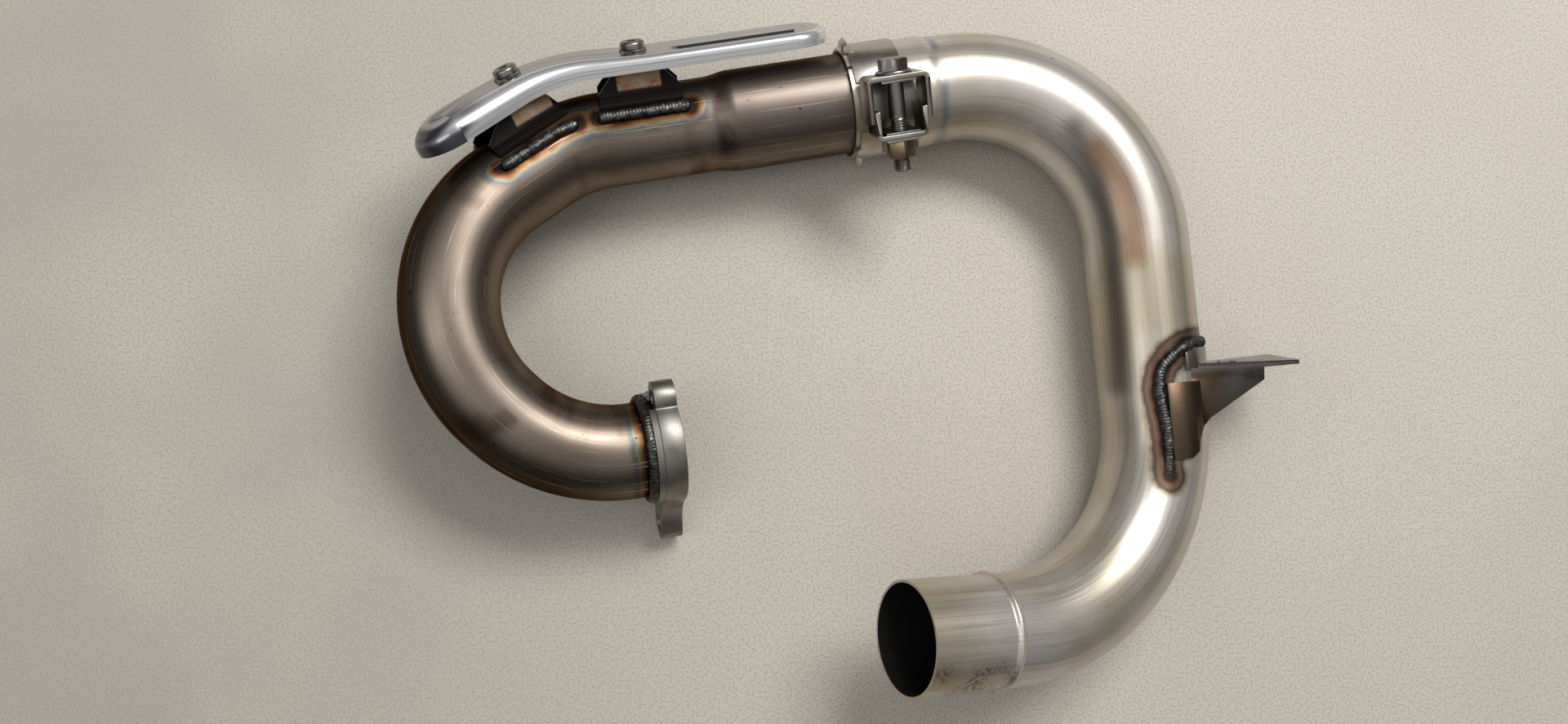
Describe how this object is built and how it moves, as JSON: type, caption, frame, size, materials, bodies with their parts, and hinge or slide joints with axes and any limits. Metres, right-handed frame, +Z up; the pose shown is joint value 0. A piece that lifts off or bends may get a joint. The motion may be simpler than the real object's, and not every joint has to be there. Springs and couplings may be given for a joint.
{
  "type": "motorcycle exhaust header",
  "caption": "Flanged exhaust header pipe with heat shield, clamped slip joint, and mid pipe with a welded frame bracket.",
  "frame": {"origin": "centre of the bounding box's underside, on the floor that the assembly rests on", "axes": "+Z up from the floor, +X from the header's hook towards the frame bracket, +Y towards the heat shield"},
  "size_m": [0.4215, 0.3116, 0.1009],
  "materials": {
    "header_steel": "heat-tinted bronze",
    "flange_steel": "dull cast and machined",
    "weld_steel": "dark rippled bead",
    "stay_steel": "straw-tinted sheet",
    "shield_steel": "polished",
    "fastener_steel": "satin",
    "gasket_graphite": "matt graphite",
    "mid_steel": "brushed with straw tint",
    "clamp_steel": "satin",
    "nut_steel": "yellow plated"
  },
  "bodies": {
    "root": {"header_pipe": "header_steel", "head_flange": "flange_steel", "flange_weld": "weld_steel", "front_stay": "stay_steel", "rear_stay": "stay_steel", "front_stay_weld": "weld_steel", "rear_stay_weld": "weld_steel", "front_weld_nut": "stay_steel", "rear_weld_nut": "stay_steel", "heat_shield": "shield_steel", "front_washer": "fastener_steel", "rear_washer": "fastener_steel", "front_screw": "fastener_steel", "rear_screw": "fastener_steel", "joint_gasket": "gasket_graphite", "mid_pipe": "mid_steel", "clamp_band": "clamp_steel", "upper_saddle": "clamp_steel", "lower_saddle": "clamp_steel", "clamp_bolt": "fastener_steel", "nut_retainer": "clamp_steel", "clamp_nut": "nut_steel", "frame_bracket": "stay_steel", "bracket_weld": "weld_steel"}
  },
  "joints": []
}
